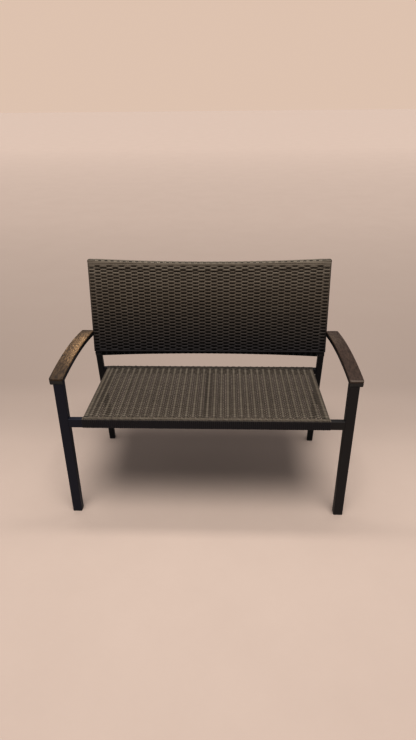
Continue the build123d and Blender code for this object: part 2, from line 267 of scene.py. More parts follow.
# %% [markdown]
# ## Two systems of strand
#
# Stakes are set first, over the rails: in pairs in the back and in threes in the seat. Wefts then
# go from side to side, over one group and under the next, and the next row does the opposite. A
# picture of weave on a flat sheet would be quicker, but light couldn't fall between its strands.
# So a weft's height over the panel is a wave along its length that changes sign from row to row,
# and a stake's is the opposite wave. On a tube strand can't sink, so its middle stays at least
# half a thickness above it. In the back all strand stands well off the tubes, which are taken to
# be bound first and then woven over, so what lies on them is higher still.

# %% Pitches and heights of the weave
dice = np.random.default_rng(7)
back_stake_pitch, back_stake_start = 25.2, -3.0
back_stakes = np.arange(-18, 19)
back_stake_x = back_stake_start + back_stake_pitch * back_stakes
pair_offsets = np.array([-3.5, 3.5])
post_stake = post_outer - 13.0
stake_places = np.concatenate([[-post_stake], back_stake_x, [post_stake]])
stake_numbers = np.arange(-19, 20)
back_rows, first_row_low = 57, -9.08
back_row_pitch = (back_length - first_row_low) / back_rows
row_level = first_row_low + (np.arange(back_rows) + 0.5) * back_row_pitch
free_height, free_weft_swing, free_stake_swing = 0.4, 1.45, 0.2
on_tube, first_binding = half_thick, 2.0
on_frame = on_tube + first_binding
tube_height, tube_swing = 1.5 + first_binding, 0.7
bottom_rail_tall, top_rail_tall = 20.0, 25.0
bottom_rail_top = back_low + bottom_rail_tall
top_rail_low = back_length - top_rail_tall
# Rows are cut into lengths of curve_step. A place further out than face_limit is on the face.
curve_step, face_limit = 4.2, -0.5
print(f"{len(back_stakes)} pairs of stakes, and rows {back_row_pitch:.2f} mm apart")


def looks(paths, painted_shade, painted_light):
    """Values per place: painted shade, painted light, and one drawn tone per strand."""
    tone = dice.random((len(paths), 1))
    values = {"painted_shade": painted_shade, "painted_light": painted_light, "tone": tone}
    return {key: np.broadcast_to(value, paths.shape[:2]) for key, value in values.items()}


def back_painted_light(up):
    """Painted light on the back's strand: palest at its top and darkest at its foot."""
    return np.interp(up, (0, 0.5 * back_length, back_length), (0.06, 0.56, 1.0))


def bottom_bow(x):
    """Rise of the bottom rail at a sideways place: a parabola, highest in the middle."""
    return bottom_rise * (1 - (x / post_inner) ** 2)


def top_bow(x):
    """Sag of the top rail at a sideways place: a parabola, deepest in the middle."""
    return top_sag * (1 - (x / post_outer) ** 2)


def rail_shift(x, up):
    """How far the bowed rails carry a place up, blended from the bottom rail's to the top's."""
    share = smooth(up, bottom_rail_top, top_rail_low)
    return bottom_bow(x) * (1 - share) - top_bow(x) * share


def back_free(x, up):
    """1 where the back's strands cross open space, 0 where they lie on a rail."""
    low = bottom_rail_top + bottom_bow(x)
    high = top_rail_low - top_bow(x)
    return smooth(up - low, -1, 7) * smooth(high - up, -1, 7)


def in_back(x, up, out):
    """Points of the back panel in the model, from sideways, upward and outward places."""
    return back_origin + x[..., None] * sideways + up[..., None] * back_up + out[..., None] * back_out


# %% [markdown]
# ### Stakes of the back
#
# A stake starts tucked behind the bottom rail, goes round it, up the face, over the top rail and
# down behind it. It could be drawn on the bowed rails straight away, but one line for straight
# rails serves all the stakes, and each is then carried up or down with the bow at its own place.
# One more pair lies on the face of each post.

# %% Back stakes
stake_on_rail = 0.8 + first_binding
back_line = rounded_line([
    (-12, bottom_rail_top), (-post_depth, bottom_rail_top), (-post_depth, back_low), (0, back_low),
    (0, back_length), (-post_depth, back_length), (-post_depth, top_rail_low), (-5, top_rail_low),
], tube_corner, 3.6, -1)


def row_number(up):
    """Row at a level, with fractions: whole numbers are the middles of rows."""
    return (up - first_row_low) / back_row_pitch - 0.5


def back_stake_paths():
    """Paths of the back's stakes: the rounded line moved out, with a slight beat in open space."""
    flat, out, _ = back_line
    in_front = flat[:, 0] > face_limit
    lean = np.repeat(dice.normal(0, 0.5, (len(back_stakes), 4)), 2, axis=0)
    share = np.clip(flat[:, 1] / back_length, 0, 1)
    straight = (back_stake_x[:, None] + pair_offsets).ravel()
    sway = sum(lean[:, j:j + 1] * np.sin(j * pi * share) for j in (1, 2, 3))
    x = straight[:, None] + lean[:, :1] + sway
    shift = rail_shift(x, flat[:, 1])
    free = back_free(x, flat[:, 1] + shift) * in_front
    sign = np.repeat(1.0 - 2 * (back_stakes % 2), 2)[:, None]
    height = free_height * free + stake_on_rail * (1 - free)
    rise = height - free_stake_swing * free * sign * np.cos(pi * row_number(flat[:, 1] + shift))
    paths = in_back(x, flat[:, 1] + shift + rise * out[:, 1], flat[:, 0] + rise * out[:, 0])
    behind = smooth(-flat[:, 0], 0.5, 3.0) * (out[:, 0] < 0.1)
    # Painted shade on the front of the stakes, which lie under the rows, but none on their top turn.
    painted_shade = np.maximum(free, 1 - behind) * (flat[:, 1] < back_length - 3)
    return paths, looks(paths, painted_shade, back_painted_light(flat[:, 1]))


def post_stake_paths():
    """Pairs on the posts: straight lines that rise over each even row and sink under each odd one."""
    up = np.arange(6.0, row_level[-4] + 2, back_row_pitch / 4)
    closer = 0.93
    x = (np.array([[-post_stake], [post_stake]]) + pair_offsets * closer).reshape(-1, 1)
    rise = tube_height + tube_swing * np.cos(pi * row_number(up)) + 0 * x
    paths = in_back(x + 0 * rise, up + 0 * rise, rise)
    # Painted shade all along these stakes, and painted light by height.
    return paths, looks(paths, 1.0, back_painted_light(up))


back_pieces = []
for name, make_paths in (("back_stakes", back_stake_paths), ("post_stakes", post_stake_paths)):
    back_pieces.append(weave(name, make_paths(), sideways, stake_section, facing=-1))
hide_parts("back_wrap_top", "back_wrap_bottom")

# %% [markdown]
# ### Wefts of the back
#
# A weft goes from post to post and is wound round both, so that no bare tube shows. It could be
# cut into a flat stretch and two bindings, but as one line it turns the corner without a seam.
# The pair of stakes on a post counts as the outermost one: odd rows pass over it and even rows
# under it. Each row wanders by a small drawn amount, because no real row is quite straight.

# %% Back wefts
def beat_over(number):
    """Wave that is 1 over even stakes and -1 over odd ones, flat there and steep between."""
    return np.sin(pi / 2 * np.cos(pi * number))


def stake_beat(x):
    """The wave along a row of the back, by sideways place."""
    return beat_over(np.interp(x, stake_places, stake_numbers))


def on_post(x):
    """0 across the panel and 1 on the face of a post."""
    return smooth(np.abs(x), post_inner - 6, post_inner + 2)


def wandering(rows, x, reach, most):
    """Small drift of each row along the panel: a sum of sines with drawn sizes, none on the posts."""
    waves = 7
    drift = dice.normal(0, most, (len(rows), waves))
    turns = x / reach * pi
    sines = sum(drift[:, j:j + 1] * np.sin((j + 1) * turns + 2 * j) for j in range(waves))
    return sines * (1 - on_post(x))


def hidden(beat, low, high):
    """How far a weft is out of the light: 1 along the stretch that passes under a stake."""
    return smooth(-beat, low, high)


def row_sag(x, level):
    """The rows near the top sag a little with the top rail."""
    return -2.0 * (1 - (x / post_outer) ** 2) * np.clip(level / back_length, 0, 1) ** 2


def row_paths(rows):
    """Rows wound round both posts: a rounded line moved out by height + swing * beat."""
    flat, out, _ = rounded_line([
        (-post_inner, -4), (-post_inner, -post_depth), (-post_outer, -post_depth), (-post_outer, 0),
        (post_outer, 0), (post_outer, -post_depth), (post_inner, -post_depth), (post_inner, -4),
    ], tube_corner, curve_step, 1)
    x = flat[:, 0]
    front = (flat[:, 1] > face_limit) * smooth(-np.abs(x), -post_outer + 1, -post_outer + 6)
    level = row_level[rows][:, None]
    free = back_free(x, level) * (1 - on_post(x))
    beat = (1.0 - 2 * (rows % 2))[:, None] * stake_beat(x)
    height = free_height * free + tube_height * (1 - free)
    swing = free_weft_swing * free + tube_swing * (1 - free)
    rise = on_frame * (1 - front) + (height + swing * beat) * front
    # Painted shade where a row passes under a stake.
    painted_shade = hidden(beat, 0.1 + 0.3 * on_post(x), 0.75 + 0.2 * on_post(x)) * front
    up = level + row_sag(x, level) + wandering(rows, x, post_outer, 0.07) * front
    paths = in_back(x + rise * out[:, 0], up, flat[:, 1] + rise * out[:, 1])
    # Painted light by height, and painted shade on the sides of the posts.
    return paths, looks(paths, painted_shade, back_painted_light(level) * (1 - 0.85 * np.abs(out[:, 0])))


free_rows = np.arange(2, back_rows - 3)
for name, rows, node in (
    ("back_wefts_even", free_rows[free_rows % 2 == 0], "back_wrap_left"),
    ("back_wefts_odd", free_rows[free_rows % 2 == 1], "back_wrap_right"),
):
    made = row_paths(rows)
    narrower = 1 - 0.09 * on_post(made[0][..., :1])
    piece = weave(name, made, back_up, back_weft_section, facing=-1, narrower=narrower)
    back_pieces.append(piece)
    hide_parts("back_weave", node)

# %% [markdown]
# ### Edges of the back
#
# Three rows go right round the frame like belts: one at the bottom, and two at the top that hold
# the ends of the stakes. The uppermost follows the bowed rail, and the wedges that it leaves at the
# corners are filled by a short strand round each post. More rows lie on top of the top rail and
# along the underside of the bottom one. The stakes could end bare there, but the photo shows an
# edge without notches, so these rows cover them.

# %% Belts and edge rows of the back
def belt_paths(rows, shares):
    """Closed rows round both posts and a rail, carried with the bow of the top rail by a share."""
    flat, out, _ = rounded_line([
        (0, -post_depth), (-post_outer, -post_depth), (-post_outer, 0), (post_outer, 0),
        (post_outer, -post_depth), (0, -post_depth),
    ], tube_corner, curve_step, 1)
    flat, out = flat[:-1], out[:-1]
    panel = (1 - on_post(flat[:, 0])) * (np.abs(out[:, 1]) > 0.99)
    sag = top_bow(flat[:, 0])
    rise = on_frame + 1.25 * panel + 0 * rows[:, None]
    rise = rise + 0.2 * panel * stake_beat(2 * flat[:, 0])
    up = row_level[rows][:, None] + row_sag(flat[:, 0], row_level[rows][:, None]) * (rows[:, None] > 9)
    up = up - shares[:, None] * sag
    paths = in_back(flat[:, 0] + rise * out[:, 0], up, flat[:, 1] + rise * out[:, 1])
    # Painted light by height, and painted shade on the sides of the posts.
    return paths, looks(paths, 0.0, back_painted_light(up) * (1 - 0.85 * np.abs(out[:, 0])))


def corner_fill_paths(row, length):
    """Strand round each post between two belts, its ends tucked in behind them."""
    flat, out, _ = rounded_line([
        (post_outer - length, 0), (post_outer, 0), (post_outer, -post_depth),
        (post_outer - length, -post_depth),
    ], tube_corner, curve_step, 1)
    panel = (1 - on_post(flat[:, 0])) * (np.abs(out[:, 1]) > 0.99)
    tuck = smooth(post_outer - flat[:, 0], length - 60, length)
    rise = on_frame + (1.2 - 1.6 * tuck) * panel
    up = row_level[row] - 2.5 * tuck + 0 * rise
    right = in_back(flat[:, 0] + rise * out[:, 0], up, flat[:, 1] + rise * out[:, 1])
    paths = np.stack([right, (right * (-1, 1, 1))[::-1]])
    # Painted shade on the tucked ends, and painted light by height.
    return paths, looks(paths, 0.6 * tuck, back_painted_light(up))


belt_rows, belt_shares = np.array([1, back_rows - 3, back_rows - 1]), np.array([0.0, 0.0, 0.8])
made = belt_paths(belt_rows, belt_shares)
back_pieces.append(weave("back_belts", made, back_up, back_weft_section, closed=True, facing=-1))
made = corner_fill_paths(back_rows - 2, 190.0)
back_pieces.append(weave("corner_fillers", made, back_up, back_weft_section, facing=-1))
edge_rows = 3
edge_away = -post_depth * (np.arange(edge_rows) + 0.5)[:, None] / edge_rows


def underside_row_paths():
    """Rows along the underside of the bottom rail, which follow its bow and cover the stakes."""
    reach = post_inner - 4
    x = np.linspace(-reach, reach, 1 + ceil(2 * post_inner / 6.0))
    bow = bottom_bow(x)
    up = back_low + bow - (on_frame + 1.1 + 0.2 * stake_beat(2 * x)) + 0 * edge_away
    paths = in_back(x + 0 * up, up, edge_away + 0 * up)
    # No painted light: the underside faces down, so it takes the darkest strand colour as painted shade.
    return paths, looks(paths, 0.0, 0.0)


def edge_row_paths():
    """Rows along the top of the top rail, over the stakes, with both ends turned down."""
    drop = 9.0
    corners = [(-post_outer, back_length - drop), (-post_outer, back_length)]
    corners += [(-x, up) for x, up in corners[::-1]]
    flat, out, _ = rounded_line(corners, tube_corner, curve_step, 1)
    panel = (1 - on_post(flat[:, 0])) * (np.abs(out[:, 1]) > 0.99)
    rise = on_frame + 1.25 * panel + 0.3 * panel * stake_beat(2 * flat[:, 0]) + 0 * edge_away
    sag = top_bow(flat[:, 0]) * (np.abs(flat[:, 0]) < post_outer - 1)
    up = flat[:, 1] - sag + rise * out[:, 1]
    paths = in_back(flat[:, 0] + rise * out[:, 0], up, edge_away + 0 * rise)
    # Full painted light: the top of the rail faces up.
    return paths, looks(paths, 0.0, 1.0)


back_pieces.append(weave("back_top_edge", edge_row_paths(), back_out, back_weft_section))
back_pieces.append(weave("back_underside", underside_row_paths(), back_out, back_weft_section))

# %% [markdown]
# ### Tail of the binding on each post
#
# Under the back panel each post keeps a couple of turns of strand. Closed loops stand for them.
# They could be set level or square to the panel, but the post bends there, so they are set square
# to its centre line, which is a rounded line too.

# %% Turns round the bent post
def post_centre_line():
    """Centre line of a post as setback and height: two stretches and the bend between."""
    reach = 300
    shift = post_depth / 2 / (1 + cos(rake + recline))
    corner = np.array([
        bend_setback + shift * (cos(rake) + cos(recline)),
        bend_height + shift * (sin(rake) - sin(recline)),
    ])
    foot = corner + reach * np.array([sin(rake), -cos(rake)])
    top = corner + reach * np.array([sin(recline), cos(recline)])
    return rounded_line([foot, corner, top], bend_radius, 2.0, 1), corner


def ring(width, depth, step):
    """Closed rounded rectangle seen from its middle, as points and unit vectors outwards."""
    w, d = width / 2, depth / 2
    corners = [(0, -d), (-w, -d), (-w, d), (w, d), (w, -d), (0, -d)]
    flat, out, _ = rounded_line(corners, tube_corner, step, 1)
    return flat[:-1], out[:-1]


def tail_turn_paths(turns_below_bend):
    """Loops round both posts, each spot + x * sideways + y * normal of the centre line.

    The second value is each loop's direction along its post, which is the strand's width.
    """
    post_line, post_corner = post_centre_line()
    middle_run = nearest_run(post_line, post_corner)
    flat, out = ring(post_width, post_depth, 5.0)
    loop = flat + on_tube * out
    loops, normals = [], []
    for side in (-1, 1):
        x = side * (post_outer - post_width / 2) + loop[:, :1]
        for below in turns_below_bend:
            centre, outward = places_on(post_line, np.array([middle_run - below]))
            normal = np.array([0.0, outward[0, 0], outward[0, 1]])
            spot = np.array([0.0, front_y + centre[0, 0], centre[0, 1]])
            loops.append(spot + x * sideways + loop[:, 1:] * normal)
            normals.append(normal)
    along_post = np.cross(np.broadcast_to(sideways, (len(normals), 3)), np.array(normals))
    return np.array(loops), along_post[:, None]


paths, along_post = tail_turn_paths((12.6, 19.0))
across, out = frames_along(paths, along_post, True)
middle = paths.mean(axis=1, keepdims=True)
out = out * np.sign(((paths - middle) * out).sum(-1, keepdims=True))
# Almost no painted light: the turns take nearly the darkest strand colour as painted shade.
values = looks(paths, 0.0, 0.05)
piece = strands("post_tail_turns", paths, across, out, binding_section, True, values)
back_pieces.append(piece)

# %% [markdown]
# ## The seat
#
# The seat is the same weave laid flat, over stakes that run from rail to rail. Both rails are bound with
# strand wound side by side, and the stakes end under that binding. One strand a stake would be simpler, but
# it leaves gaps that show the floor, so a stake is two strands side by side with a third over their joint.
# That third one carries a painted highlight, and the rows carry painted shade between the stakes, so the
# seat reads as narrow pale lines. How far the rows swing is a guess: it leaves them a little clear of the
# stakes.

# %% Seat stakes
seat_stake_pitch, seat_stake_start, first_stake_shift = 25.6, 4.0, 4.5
seat_stakes = np.arange(-17, 17)
stake_x = seat_stake_start + seat_stake_pitch * seat_stakes
stake_x[0] += first_stake_shift
seat_rows, seat_margin, seat_weft_swing = 61, 2.2, 2.2
seat_row_pitch = (seat_length - 2 * seat_margin) / seat_rows
seat_edge, side_cover, side_tube = 455.0, 2.9, 20.0
side_outer = seat_edge - side_cover
side_inner = side_outer - side_tube
side_stake = side_inner + side_tube / 2
seat_places = np.concatenate([[-side_stake], stake_x, [side_stake]])
seat_numbers = np.arange(-18, 18)
stake_spread = np.array([-4.3, 0.0, 4.3])
stake_lift = np.tile([0.0, 0.35, 0.0], len(stake_x))[:, None]
end_drop = 16
print(f"{len(seat_stakes)} stakes and {seat_rows} rows, {seat_row_pitch:.2f} mm a row")


def in_seat(x, along, out):
    """Points of the seat panel in the model, from sideways, rearward and outward places."""
    return seat_origin + x[..., None] * sideways + along[..., None] * seat_along + out[..., None] * seat_out


def in_side_view(x, setback, height):
    """Points of the model from sideways places, setbacks and heights."""
    return np.stack(np.broadcast_arrays(x, front_y + setback, height), axis=-1)


seat_line = rounded_line([
    (0, rail_high - end_drop), (0, rail_high), (rail_front, rail_high),
    (rear_rail_setback, rear_rail_high), (rear_rail_setback + rear_rail_depth, rear_rail_high),
    (rear_rail_setback + rear_rail_depth, rear_rail_high - end_drop),
], tube_corner, 1.5, 1)
sheet_start = nearest_run(seat_line, (rail_front, rail_high)) + seat_margin
sheet_end = nearest_run(seat_line, (rear_rail_setback, rear_rail_high)) - seat_margin


def seat_free(along):
    """1 where the seat's strands cross open space, 0 near the rails."""
    return smooth(along, 0, 9) * smooth(-along, -seat_length, 9 - seat_length)


def seat_stake_paths():
    """Paths of the seat's stakes: over both rails and between them, with a slight beat.

    There is one place a row along the sheet and two a row near its ends, where a stake bends.
    """
    ends = np.arange(0.0, 7.0, 0.5)
    number = np.concatenate([ends - 4.6, np.arange(3.0, seat_rows - 3.0), seat_rows + 3.4 - ends])
    runs = sheet_start + (number + 0.5) / seat_rows * (sheet_end - sheet_start)
    runs = np.unique(np.clip(runs, 0.3, seat_line[2][-1] - 0.3))
    number = (runs - sheet_start) / (sheet_end - sheet_start) * seat_rows - 0.5
    flat, out = places_on(seat_line, runs)
    free = seat_free(flat[:, 0] - rail_front)
    height = free_height * free + on_tube * (1 - free)
    sign = np.repeat(1.0 - 2 * (seat_stakes % 2), 3)[:, None]
    rise = height - free_stake_swing * free * sign * np.cos(pi * number) + stake_lift
    lean = np.repeat(dice.normal(0, 0.4, (len(stake_x), 2)), 3, axis=0)
    share = np.clip((flat[:, 0] - rail_front) / seat_length, 0, 1)
    x = (stake_x[:, None] + stake_spread).reshape(-1, 1) + lean[:, :1] + lean[:, 1:] * np.sin(pi * share)
    paths = in_side_view(x + 0 * rise, flat[:, 0] + rise * out[:, 0], flat[:, 1] + rise * out[:, 1])
    # Painted highlight on the raised middle strand of each stake, painted shade on the two beside it in
    # open space.
    highlit_middle = stake_lift > 0
    painted_shade = free * np.where(highlit_middle, 0.0, 0.6)
    return paths, looks(paths, painted_shade, 0.4 + free * np.where(highlit_middle, 0.58, 0.1))


seat_pieces = [weave("seat_stakes", seat_stake_paths(), sideways, seat_stake_section)]


def side_stake_paths():
    """A stake on each side tube: a straight line that rises and sinks against the rows."""
    along = np.arange(4.0, seat_length - 4, seat_row_pitch / 4)
    number = (along - seat_margin) / seat_row_pitch - 0.5
    x = np.array([[-side_stake], [side_stake]])
    sign = np.array([[1.0], [-1.0]])
    rise = 1.5 - 0.5 * sign * np.cos(pi * number)
    paths = in_seat(x + 0 * rise, along + 0 * rise, rise)
    # Strong painted light: these stakes lie on top of the side tubes.
    return paths, looks(paths, 0.0, 0.85)


seat_pieces.append(weave("side_stakes", side_stake_paths(), sideways, seat_stake_section))

# %% [markdown]
# ### Wefts of the seat
#
# Seat wefts go over and under the stakes, then round the two side tubes and up inside them. As in
# the back, one line for a whole row turns both corners without a seam. Deeper relief could cast
# the shade between the stakes. Nothing shows how deep the real one is, so that shade is painted
# into the strand.

# %% Seat wefts
def seat_weft_paths(rows):
    """Paths of the seat's rows: a line round both side tubes moved out by height + swing * beat.

    A row carries painted light towards the front, at the rear edge and over each stake, and painted shade
    between the stakes and on the sides of its turns round the side tubes.
    """
    flat, out, _ = rounded_line([
        (-side_inner, -4), (-side_inner, -side_tube), (-side_outer, -side_tube), (-side_outer, 0),
        (side_outer, 0), (side_outer, -side_tube), (side_inner, -side_tube), (side_inner, -4),
    ], tube_corner, 4.27, 1)
    above = flat[:, 1] > face_limit
    inward = -np.abs(flat[:, 0])
    panel = smooth(inward, -side_inner, 14 - side_inner) * above
    on_top = above * smooth(inward, -side_outer + 1, -side_outer + 6) * (1 - panel)
    level = (seat_margin + (rows + 0.5) * seat_row_pitch)[:, None]
    sign = (1.0 - 2 * (rows % 2))[:, None]
    beat = sign * beat_over(np.interp(flat[:, 0], seat_places, seat_numbers))
    rise = free_height * panel + on_tube * (1 - panel) + seat_weft_swing * panel * beat
    rise = rise + (0.8 + 0.6 * beat) * on_top
    waves = 6
    wander = dice.normal(0, 0.1, (len(rows), waves))
    turns = flat[:, 0] / seat_edge * pi
    apart = np.abs(flat[:, 0][:, None] - seat_places).min(axis=1)
    painted_shade_between = smooth(apart, 1.8, 6.2) * (panel + on_top)
    along = level + sum(wander[:, j:j + 1] * np.sin((j + 1) * turns + j) for j in range(waves)) * panel
    x = flat[:, 0] + rise * out[:, 0]
    away = flat[:, 1] + rise * out[:, 1]
    paths = in_seat(x, along, away)
    # Painted light: paler towards the front, and darker on the turns below the top.
    painted_light = 0.06 + (0.46 + 0.16 * smooth(-level, -150, 0)) * smooth(flat[:, 1], -6, 0)
    # More painted light near the rear edge, to cancel the shade that the back throws there.
    painted_light = painted_light + 0.1 * smooth(level, seat_length - 110, seat_length - 20) * above
    # Painted highlight over each stake.
    painted_light = painted_light + 0.4 * (panel + on_top - painted_shade_between)
    # Painted shade between the stakes, deeper where the row passes under one.
    painted_shade = painted_shade_between * (0.26 + 0.5 * hidden(beat, -0.4, 0.7))
    return paths, looks(paths, painted_shade, painted_light)


for name, rows, node in (
    ("seat_wefts_even", np.arange(0, seat_rows, 2), "seat_wrap_left"),
    ("seat_wefts_odd", np.arange(1, seat_rows, 2), "seat_wrap_right"),
):
    piece = weave(name, seat_weft_paths(rows), seat_along, seat_weft_section)
    seat_pieces.append(piece)
    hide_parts("seat_weave", node)

# %% [markdown]
# ### Binding of the seat rails
#
# One long strand is wound round each rail, so its turns lie side by side. It could be drawn as a helix.
# Closed loops look the same at this pitch, and each can ride up by itself where a stake lies beneath. The
# tops of the turns carry painted light and their fronts painted shade, almost black. Two more strands are
# twisted round each other along the front edge, with painted light on the upper side of each twist.

# %% Rail bindings
def binding(name, rail_setback, rail_bottom, depth, height, painted_top_light, node):
    """Turns round a rail: rounded rectangles moved out, and further out over each stake."""
    count, turn_width = 125, 6.9
    x = (np.arange(count) - (count - 1) / 2) * (2 * seat_edge - turn_width) / (count - 1)
    flat, out = ring(depth, height, 6.0)
    nearest = np.abs(x[:, None] - stake_x[None]).min(axis=1)[:, None]
    top = smooth(flat[:, 1], height / 2 - 14, height / 2 - 4)
    rise = on_tube + 1.5 * np.exp(-(nearest / 4.2) ** 2) * top
    rise = rise + np.abs(dice.normal(0, 0.22, (count, 1))) + 0 * flat[:, 0]
    slant = dice.normal(0, 0.25, (count, 1)) * flat[:, 1] / height
    setback = rail_setback + depth / 2 + flat[:, 0] + rise * out[:, 0]
    up = rail_bottom + height / 2 + flat[:, 1] + rise * out[:, 1]
    paths = in_side_view(x[:, None] + slant + 0 * rise, setback, up)
    # Painted light on the tops of the turns, painted shade on their fronts.
    made = paths, looks(paths, 0.0, painted_top_light * np.clip(out[:, 1], 0, 1) ** 2)
    piece = weave(name, made, sideways, binding_section, closed=True)
    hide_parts(node)
    return piece


def edge_twist():
    """Two strands wound round each other: (x, r cos, r sin) with the angle growing along x."""
    reach, drawn = seat_edge - 6.0, 60
    x = np.linspace(-reach, reach, 1 + ceil(2 * reach / 3.2))
    drift = np.interp(x, np.linspace(-reach, reach, drawn), dice.normal(0, 0.7, drawn))
    angle = 2 * pi * x / seat_stake_pitch + drift + np.array([[0.0], [pi]])
    spread, lift = 1.5 * np.cos(angle), 1.2 * np.sin(angle)
    paths = in_side_view(x + 0 * angle, 3.6 + spread, rail_high + 3.0 + lift)
    flatwise = np.stack([0 * angle, np.cos(angle / 2), np.sin(angle / 2)], axis=-1)
    tangent = unit(np.gradient(paths, axis=1))
    across = unit(flatwise - tangent * (flatwise * tangent).sum(-1, keepdims=True))
    out = np.cross(across, tangent)
    # Painted light on the upper side of each twist, painted shade on the lower.
    values = looks(paths, 0.0, 0.75 + 0.45 * np.sin(angle))
    section = round_edged * (2.2, half_thick)
    return strands("seat_edge_twist", paths, across, out, section, False, values)


seat_pieces.append(binding(
    "front_rail_binding", 0.0, rail_low, rail_front, rail_high - rail_low, 0.8, "seat_wrap_front",
))
seat_pieces.append(binding(
    "rear_rail_binding", rear_rail_setback, rear_rail_low, rear_rail_depth,
    rear_rail_high - rear_rail_low, 0.62, "seat_wrap_rear",
))
seat_pieces.append(edge_twist())

# %% [markdown]
# ## Finishes
#
# Each finish is a small node tree. Pictures could be used, but they would need a map on every tube
# and slat. Patterns worked out by nodes don't: only those that run along a strand read its map,
# and the others read object coordinates, which are the bench's own metres.

# %% Node helpers
def new_finish(name):
    """Material with an empty tree but for its shader and output."""
    material = bpy.data.materials.new(name)
    material.use_nodes = True
    return material, material.node_tree, material.node_tree.nodes["Principled BSDF"]


def add(tree, kind, **settings):
    """Node of a kind with properties set by name, and inputs set by a leading in_."""
    made = tree.nodes.new(kind)
    for key, value in settings.items():
        if key.startswith("in_"):
            made.inputs[key[3:].replace("_", " ")].default_value = value
        else:
            setattr(made, key, value)
    return made


def join(tree, source, target):
    """Link between an output and an input socket."""
    tree.links.new(source, target)


def blend_colours(tree, share, low, high):
    """Colour that goes from low to high as share goes from 0 to 1; each may be a socket."""
    mix = add(tree, "ShaderNodeMix", data_type="RGBA")
    inputs = {s.identifier: s for s in mix.inputs}
    for key, value in (("Factor_Float", share), ("A_Color", low), ("B_Color", high)):
        if isinstance(value, bpy.types.NodeSocket):
            join(tree, value, inputs[key])
        elif isinstance(value, (int, float)):
            inputs[key].default_value = value
        else:
            inputs[key].default_value = (*value, 1.0)
    return next(s for s in mix.outputs if s.identifier == "Result_Color")


def sums(tree, operation, first, second):
    """Math node on two values or sockets."""
    made = add(tree, "ShaderNodeMath", operation=operation)
    for socket, value in zip(made.inputs, (first, second)):
        if isinstance(value, bpy.types.NodeSocket):
            join(tree, value, socket)
        else:
            socket.default_value = value
    return made.outputs[0]


def noise(tree, where, scale, detail=3.0, roughness=0.55):
    """Noise pattern on given coordinates."""
    made = add(tree, "ShaderNodeTexNoise", in_Scale=scale, in_Detail=detail, in_Roughness=roughness)
    join(tree, where, made.inputs["Vector"])
    return made.outputs["Fac"]


def ramp(tree, value, low, high):
    """Value stretched so that low becomes 0 and high becomes 1."""
    made = add(tree, "ShaderNodeMapRange", in_From_Min=low, in_From_Max=high)
    join(tree, value, made.inputs["Value"])
    return made.outputs["Result"]


def relief(tree, shader, height, distance, strength):
    """Bump of a height pattern on a shader."""
    made = add(tree, "ShaderNodeBump", in_Distance=distance, in_Strength=strength)
    join(tree, height, made.inputs["Height"])
    join(tree, made.outputs["Normal"], shader.inputs["Normal"])


# %% [markdown]
# ### Strand
#
# The strand is grey brown plastic. Its colour carries painted light and painted shade: paler and greyer
# where it lies open and faces up, darker on sides and undersides, and dark where it dips under another. One
# flat colour would hide the weave. So its colour is blended from the values that each place carries, and a
# noise stretched along the strand gives it fine grooves.

# %% Strand finish
def strand_finish():
    """Dark to brown to grey with painted light, varied by tone and patches, and darker with painted shade.
    """
    material, tree, shader = new_finish("grey_brown_strand")
    place = add(tree, "ShaderNodeTexCoord").outputs["Object"]
    along = add(tree, "ShaderNodeUVMap", uv_map="strand").outputs["UV"]
    tone = add(tree, "ShaderNodeAttribute", attribute_name="tone").outputs["Fac"]
    painted_shade = add(tree, "ShaderNodeAttribute", attribute_name="painted_shade").outputs["Fac"]
    painted_light = add(tree, "ShaderNodeAttribute", attribute_name="painted_light").outputs["Fac"]
    patch = ramp(tree, noise(tree, place, 14.0), 0.3, 0.7)
    mixed = sums(tree, "ADD", sums(tree, "MULTIPLY", tone, 0.65), sums(tree, "MULTIPLY", patch, 0.35))
    brown = blend_colours(tree, mixed, (0.088, 0.0685, 0.0485), (0.135, 0.109, 0.080))
    grey = blend_colours(tree, mixed, (0.094, 0.078, 0.062), (0.144, 0.1245, 0.1005))
    # Painted light: near black with none, brown in the middle, grey with the most.
    colour = blend_colours(tree, ramp(tree, painted_light, 0.6, 1.05), brown, grey)
    colour = blend_colours(tree, painted_light, (0.0155, 0.0142, 0.0172), colour)
    # Painted shade: where a strand dips it goes almost black, a little less so with strong painted light.
    depth = add(tree, "ShaderNodeMapRange", in_To_Min=0.98, in_To_Max=0.68)
    join(tree, painted_light, depth.inputs["Value"])
    dark = sums(tree, "MULTIPLY", painted_shade, depth.outputs["Result"])
    colour = blend_colours(tree, dark, colour, (0.0025, 0.002, 0.0018))
    join(tree, colour, shader.inputs["Base Color"])
    stretch = add(tree, "ShaderNodeMapping")
    stretch.inputs["Scale"].default_value = (60.0, 14.0, 1.0)
    join(tree, along, stretch.inputs["Vector"])
    grooves = noise(tree, stretch.outputs["Vector"], 1.0, 2.0, 0.6)
    relief(tree, shader, grooves, 0.0005, 0.5)
    shader.inputs["Roughness"].default_value = 0.48
    sheen = sums(tree, "MULTIPLY", sums(tree, "SUBTRACT", 1.0, dark), 0.2)
    join(tree, sheen, shader.inputs["Specular IOR Level"])
    return material


strand = strand_finish()
for piece in back_pieces + seat_pieces:
    piece.data.materials.append(strand)
print("strand finish on", len(back_pieces + seat_pieces), "pieces")

# %% [markdown]
# ### Coat, plastics and steel
#
# The tubes have a black powder coat with a fine grain and a few scuffs. The plugs and glides are moulded
# plastic, and the screws are zinc plated. The coat carries painted light: as photographed, it is lighter at
# the front, cooler at the left, warmer at the right and darker towards the rear. Coloured lamps could give
# that, but they would tint the weave as well, so it is painted light blended into the coat by place.

